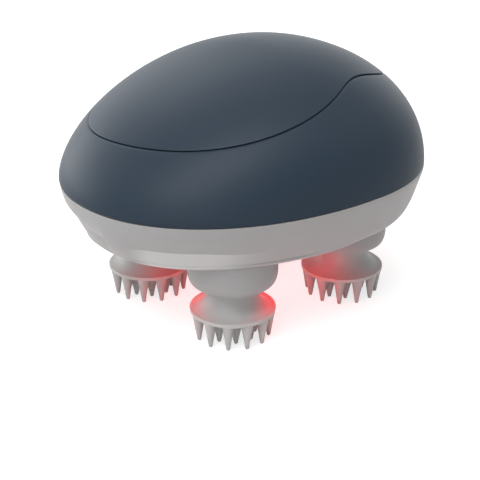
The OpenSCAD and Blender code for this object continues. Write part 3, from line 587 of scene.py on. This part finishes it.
line_top, line_deep = np.full(SEGS, CRESCENT_TOP), np.full(SEGS, CRESCENT_LINE)
base_rings = [skin(rim, PHI, off) for off in (24, 12, 4, 0.9)]
base_rings += edge(rim, -1, radius=RIM_EDGE)[::-1]
base_rings += between(rim - RIM_EDGE, line_top, 8)
base_rings += between(line_top, line_deep, 10)
base_rings += between(line_deep, low + BEAD_TOP, 10)
base_rings += [flank(low + rise) for rise in (0.6, 0.45, 0.3, 0.1, 0)]
base_rings += [lower_edge(a) for a in np.linspace(0, QUARTER_TURN, 12)[1:]]
under = base_rings[-1]
for share in (0.9, 0.75, 0.5, 0.25):
    ring = under.copy()
    ring[:, :2] = CENTRE + (ring[:, :2] - CENTRE) * share
    base_rings.append(ring)
base = loft("base_shell", base_rings, [(*CENTRE, float(rim.mean())), (*CENTRE, UNDER_Z)])

# Turrets that hold the spindles, and the room in each for the neck of its head.
TURRET_R, TURRET_Z, TURRET_TOP = 13.6, 18.0, 31.7
TURRET_SIDE, TURRET_RISE = 2.0, 4.6
ROOM_R, ROOM_TOP, ROOM_EDGE = 8.3, 22.4, 0.4
# Bores on each spindle axis, for the neck, the seal and the bush: foot, radius, length and facets.
SPINDLE_BORES = ((17, ROOM_R, 5.4, 96), (20, 5.8, 4.2, 64), (20, 4.8, 14, 64))
# Holes for the heads of the case screws: places, radius, foot and depth.
CASE_SCREWS = ((-42.5, 0), (2.8, -36.85), (2.8, 36.85))
SCREW_HEAD_R, SCREW_FOOT, SCREW_DEPTH = 2.3, 26, 3
# The charging seat in the front end: its radius, the casing left above it, and where it starts.
SEAT_R, SEAT_COVER, SEAT_X, SEAT_REACH = 5.0, 2.2, 50, 20


def turret(at):
    """One round turret under the base, with its lower corner and the mouth of its room rounded."""
    corner = [
        (
            TURRET_R - TURRET_SIDE + TURRET_SIDE * math.sin(a) ** 0.9,
            TURRET_Z + TURRET_RISE * (1 - math.cos(a)) ** 1.15,
        )
        for a in np.linspace(QUARTER_TURN, 0, 16)
    ]
    mouth = [
        (ROOM_R + ROOM_EDGE - ROOM_EDGE * math.sin(a), TURRET_Z + ROOM_EDGE * (1 - math.cos(a)))
        for a in np.linspace(0, QUARTER_TURN, 4)[1:]
    ]
    profile = [(0, TURRET_TOP), (TURRET_R, TURRET_TOP)]
    profile += [(TURRET_R, TURRET_Z + TURRET_RISE + d) for d in (6, 4, 2)]
    profile += corner + [(ROOM_R + ROOM_EDGE, TURRET_Z)] + mouth
    profile += [(ROOM_R, ROOM_TOP), (0, ROOM_TOP)]
    obj = revolve("turret", profile, 128)
    obj.data.transform(Matrix.Translation(Vector((*at, 0)) * MM))
    return obj


# The hollow of the base: a rebate for the gasket at the rim, and the wall down to the floor.
REBATE_T, REBATE_DEPTH = 1.2, 1
floor_z = UNDER_Z + FLOOR_T
wall_rings = [skin(parting(PHI) + lift, PHI, REBATE_T) for lift in (1, 0, -REBATE_DEPTH)]
wall_rings += [skin(parting(PHI) - REBATE_DEPTH, PHI, WALL)]
wall_rings += [
    skin(parting(PHI) - REBATE_DEPTH + (floor_z - parting(PHI) + REBATE_DEPTH) * s, PHI, WALL)
    for s in np.linspace(0, 1, 8)[1:]
]
cavity = loft("cavity", wall_rings, [(*CENTRE, PARTING_Z + 1), (*CENTRE, floor_z)])
boolean(base, joined([turret(at) for at in HEADS]), "UNION")
boolean(base, cavity, "DIFFERENCE")
for x, y in HEADS:
    for z, radius, length, count in SPINDLE_BORES:
        bore = cylinder((x, y, z), (0, 0, 1), radius, length, count)
        boolean(base, bore, "DIFFERENCE")
for x, y in CASE_SCREWS:
    bore = cylinder((x, y, SCREW_FOOT), (0, 0, 1), SCREW_HEAD_R, SCREW_DEPTH)
    boolean(base, bore, "DIFFERENCE")
seat_z = float(parting(np.array(0.0))) - SEAT_COVER - SEAT_R
seat = cylinder((SEAT_X, 0, seat_z), (1, 0, 0), SEAT_R + FIT, SEAT_REACH)
boolean(base, seat, "DIFFERENCE")
finish(base, LIGHT, "casing", ["base_housing"], angle=9)

# ---- massage heads -------------------------------------------------------------------------------
RIM_R, RIM_Z, RIM_ROUND, DISC_Z = 13.0, 9.5, 0.14, 8.35
NECK_R, FLARE_Z, NECK_TOP, NECK_ROUND = 7.6, 15.8, 20.9, 0.5
# The socket for the spindle: radius, closed end, and the bevel of its mouth.
SOCKET_R, SOCKET_Z, MOUTH_R, MOUTH_BEVEL = 4.05, 12.0, 4.5, 0.5
SPIKE_TIP, SPIKE_TOP = 0.62, 8.6
# Each ring of spikes: how many, distance from the axis, radius of the root, and the width, depth
# and height of the arch that carries it under the disc.
OUTER_SPIKES = (12, 10.92, 1.87, 2.7, 1.99, 0.55)
INNER_SPIKES = (8, 6.75, 1.95, 2.9, 2.7, 2.2)
CENTRE_SPIKE = (1, 0, 1.95, 3.2, 3.2, 2.2)
SPIKE_PHASE = math.radians(12.5)


def head_body():
    """The trumpet-shaped disc with its neck and the socket for the spindle."""
    profile = [(0, SOCKET_Z), (SOCKET_R, SOCKET_Z), (SOCKET_R, NECK_TOP - MOUTH_BEVEL)]
    profile += [(MOUTH_R, NECK_TOP), (NECK_R - NECK_ROUND, NECK_TOP)]
    profile += [
        (
            NECK_R - NECK_ROUND + NECK_ROUND * math.sin(a),
            NECK_TOP - NECK_ROUND * (1 - math.cos(a)),
        )
        for a in np.linspace(0, QUARTER_TURN, 5)[1:]
    ]
    profile += [(NECK_R, z) for z in (19, 17.5, 16.6)]
    reach, fall = RIM_R - RIM_ROUND - NECK_R, FLARE_Z - RIM_Z
    profile += [
        (NECK_R + reach * (1 - math.cos(a)), FLARE_Z - fall * math.sin(a))
        for a in np.linspace(0, QUARTER_TURN, 22)
    ]
    profile += [
        (RIM_R - RIM_ROUND + RIM_ROUND * math.sin(a), RIM_Z - RIM_ROUND * (1 - math.cos(a)))
        for a in np.linspace(0.5, QUARTER_TURN, 4)
    ]
    profile += [(RIM_R - 0.08, DISC_Z + 0.12), (RIM_R - 0.2, DISC_Z)]
    profile += [(r, DISC_Z) for r in (9, 5, 2.5, 0)]
    return revolve("head_body", profile, 120)


def spike(at_r, turn, root, wide, deep, arch, count=28):
    """Cone from its round tip at z = 0, widening into an arch towards its neighbours."""
    sections = []
    for a in np.linspace(QUARTER_TURN, 0, 6)[1:-1]:
        r = SPIKE_TIP * math.cos(a)
        sections.append((r, r, SPIKE_TIP - SPIKE_TIP * math.sin(a)))
    for z in np.linspace(SPIKE_TIP, SPIKE_TOP - arch, 8):
        s = (z - SPIKE_TIP) / (SPIKE_TOP - arch - SPIKE_TIP)
        r = SPIKE_TIP + (root - SPIKE_TIP) * (0.9 * s + 0.1 * s * s)
        sections.append((r, r, z))
    for a in np.linspace(0, QUARTER_TURN, 9)[1:]:
        q = 1 - math.cos(a)
        z = SPIKE_TOP - arch + arch * math.sin(a)
        sections.append((root + (deep - root) * q, root + (wide - root) * q, z))
    t = np.arange(count) * 2 * math.pi / count
    c, s = math.cos(turn), math.sin(turn)
    loops = []
    for radial, across, z in sections:
        x, y = at_r + radial * np.cos(t), across * np.sin(t)
        loops.append(np.stack([x * c - y * s, x * s + y * c, np.full(count, z)], -1))
    foot = (at_r * c, at_r * s)
    return loft("spike", loops, [(*foot, 0), (*foot, SPIKE_TOP)])


def spikes(count, at_r, *shape):
    """One ring of spikes, or the spike on the axis."""
    phase = SPIKE_PHASE if at_r else 0
    return [spike(at_r, phase + k * 2 * math.pi / count, *shape) for k in range(count)]


def head_mesh():
    """A whole head: the disc with its 21 spikes."""
    body = head_body()
    outer = spikes(*OUTER_SPIKES)
    inner = spikes(*INNER_SPIKES) + spikes(*CENTRE_SPIKE)
    for group in (outer[0::2], outer[1::2], inner[0::2], inner[1::2]):
        boolean(body, joined(group), "UNION")
    return body


first = head_mesh()
for k, (x, y) in enumerate(HEADS, 1):
    head = first if k == 1 else bpy.data.objects.new(f"spiked_head_{k}", first.data)
    head.name = f"spiked_head_{k}"
    head.location = Vector((x, y, 0)) * MM
    if k == 1:
        finish(head, RUBBER, "head_1", ["massage_head_1"], angle=38)
    else:
        bpy.context.scene.collection.objects.link(head)
        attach(head, f"head_{k}")
        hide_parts(f"massage_head_{k}")


# ---- studio --------------------------------------------------------------------------------------
# The camera's turn about Z, its elevation and its distance, and how it is tipped and panned.
VIEW_TURN, VIEW_RISE, VIEW_DISTANCE = math.radians(-40.84), math.radians(21.60), 398.3
VIEW_TIP, VIEW_PAN = math.radians(2.627), math.radians(-0.242)
AIM = Vector((2.8, 0, 37.14)) * MM
WORLD_FILL = 0.16
# Tone of the floor near the object, and the distances in metres over which it rises to 1.
FLOOR_LIFT, FLOOR_NEAR, FLOOR_FAR = 0.72, 0.15, 0.6
FLOOR_SIZE = 3000

# Soft lamps round the object: name, elevation, turn from the camera to its right, size, power.
LAMPS = (
    ("low_front", 6, -30, 0.9, 1.7),
    ("front", 25, -10, 0.6, 0.8),
    ("high_front", 50, -30, 0.7, 6.2),
    ("top", 74, 0, 0.6, 5.2),
    ("left_edge", 7, -118, 0.8, 6.0),
    ("back_left", 25, -150, 0.7, 1.9),
    ("high_back", 48, -165, 0.7, 0.8),
    ("high_right", 48, 90, 0.6, 0.6),
    ("right_edge", 20, 140, 0.6, 0.7),
    ("far_side", 10, 165, 0.8, 1.1),
)
# The red light under the base, one lamp in the middle and one in each gap between two heads:
# place from the middle of the underside, and power.
GLOWS = ((0, 0, 0.001), (-3, -28, 0.007), (-30, -4, 0.0044), (3, 28, 0.003), (30, 4, 0.0018))
GLOW_Z, GLOW_SIZE, GLOW_COLOUR = 22.5, 0.010, (1.0, 0.02, 0.03)


def seen_directly(nodes, links):
    """1 for rays of the camera and of mirror or clear surfaces, 0 for rays that light the object."""
    path = nodes.new("ShaderNodeLightPath")
    either = path.outputs["Is Camera Ray"]
    for kind in ("Is Glossy Ray", "Is Transmission Ray"):
        either = arithmetic(nodes, links, "MAXIMUM", either, path.outputs[kind])
    return either


def world():
    """White where it is seen, and a weak cool fill where it lights."""
    w = bpy.data.worlds.new("studio")
    bpy.context.scene.world = w
    w.use_nodes = True
    nodes, links = w.node_tree.nodes, w.node_tree.links
    nodes.clear()
    out = nodes.new("ShaderNodeOutputWorld")
    seen = nodes.new("ShaderNodeBackground")
    seen.inputs["Color"].default_value = (1, 1, 1, 1)
    seen.inputs["Strength"].default_value = 1.0
    fill = nodes.new("ShaderNodeBackground")
    fill.inputs["Color"].default_value = (0.95, 0.97, 1.0, 1)
    fill.inputs["Strength"].default_value = WORLD_FILL
    mix = nodes.new("ShaderNodeMixShader")
    links.new(seen_directly(nodes, links), mix.inputs["Fac"])
    links.new(fill.outputs["Background"], mix.inputs[1])
    links.new(seen.outputs["Background"], mix.inputs[2])
    links.new(mix.outputs["Shader"], out.inputs["Surface"])


def area(name, place, aim, size, power, colour=(1, 1, 1)):
    """Round soft lamp at place that shines towards aim."""
    lamp = bpy.data.lights.new(name, "AREA")
    lamp.shape = "DISK"
    lamp.size = size
    lamp.energy = power
    lamp.color = colour
    obj = bpy.data.objects.new(name, lamp)
    obj.location = place
    obj.rotation_euler = (Vector(aim) - Vector(place)).to_track_quat("-Z", "Y").to_euler()
    bpy.context.scene.collection.objects.link(obj)


def stage_floor():
    """Pale paper that keeps the object's shadow and runs into the white of the world."""
    size = FLOOR_SIZE
    corners = [(-size, -size, 0), (size, -size, 0), (size, size, 0), (-size, size, 0)]
    obj = piece("studio_floor", corners, [[0, 1, 2, 3]])
    mat = bpy.data.materials.new("floor_paper")
    mat.use_nodes = True
    nodes, links = mat.node_tree.nodes, mat.node_tree.links
    nodes.clear()
    out = nodes.new("ShaderNodeOutputMaterial")
    paper = nodes.new("ShaderNodeBsdfDiffuse")
    paper.inputs["Color"].default_value = (0.86, 0.86, 0.86, 1)
    shade = nodes.new("ShaderNodeBsdfDiffuse")
    shade.inputs["Color"].default_value = (0.45, 0.45, 0.45, 1)
    lift = nodes.new("ShaderNodeEmission")
    place = nodes.new("ShaderNodeTexCoord")
    far = nodes.new("ShaderNodeVectorMath")
    far.operation = "LENGTH"
    links.new(place.outputs["Object"], far.inputs[0])
    away = ramp_node(nodes, links, far.outputs["Value"], FLOOR_NEAR, FLOOR_FAR)
    strength = arithmetic(nodes, links, "MULTIPLY_ADD", away, 1.0 - FLOOR_LIFT, FLOOR_LIFT)
    links.new(strength, lift.inputs["Strength"])
    total = nodes.new("ShaderNodeAddShader")
    mix = nodes.new("ShaderNodeMixShader")
    links.new(shade.outputs["BSDF"], total.inputs[0])
    links.new(lift.outputs["Emission"], total.inputs[1])
    links.new(seen_directly(nodes, links), mix.inputs["Fac"])
    links.new(paper.outputs["BSDF"], mix.inputs[1])
    links.new(total.outputs["Shader"], mix.inputs[2])
    links.new(mix.outputs["Shader"], out.inputs["Surface"])
    obj.data.materials.append(mat)


world()

right = Vector((math.cos(VIEW_TURN), math.sin(VIEW_TURN), 0))
to_camera = Vector((math.sin(VIEW_TURN), -math.cos(VIEW_TURN), 0))
for name, elevation, turn, size, watts in LAMPS:
    rise, turn = math.radians(elevation), math.radians(turn)
    level = to_camera * math.cos(turn) + right * math.sin(turn)
    way = level * math.cos(rise) + Vector((0, 0, math.sin(rise)))
    area(name, AIM + way, AIM, size, watts)
for x, y, watts in GLOWS:
    place = Vector((CENTRE[0] + x, CENTRE[1] + y, GLOW_Z)) * MM
    area("red_glow", place, place - Vector((0, 0, 1)), GLOW_SIZE, watts, GLOW_COLOUR)

stage_floor()

# ---- camera --------------------------------------------------------------------------------------
backward = to_camera * math.cos(VIEW_RISE) + Vector((0, 0, math.sin(VIEW_RISE)))
camera_at = AIM + backward * VIEW_DISTANCE * MM
forward = -backward
up = right.cross(forward)
tipped = forward * math.cos(VIEW_TIP) - up * math.sin(VIEW_TIP)
ahead = (tipped * math.cos(VIEW_PAN) + right * math.sin(VIEW_PAN)).normalized()
camera_right = ahead.cross(right.cross(tipped)).normalized()
camera_up = camera_right.cross(ahead)
lens = bpy.data.cameras.new("camera")
lens.lens, lens.sensor_width, lens.sensor_fit = 95.05, 36.0, "HORIZONTAL"
lens.clip_start, lens.clip_end = 0.01, 20
camera = bpy.data.objects.new("camera", lens)
camera.matrix_world = Matrix((
    (camera_right.x, camera_up.x, -ahead.x, camera_at.x),
    (camera_right.y, camera_up.y, -ahead.y, camera_at.y),
    (camera_right.z, camera_up.z, -ahead.z, camera_at.z),
    (0, 0, 0, 1),
))
bpy.context.scene.collection.objects.link(camera)
bpy.context.scene.camera = camera
bpy.context.scene.view_settings.view_transform = "Standard"
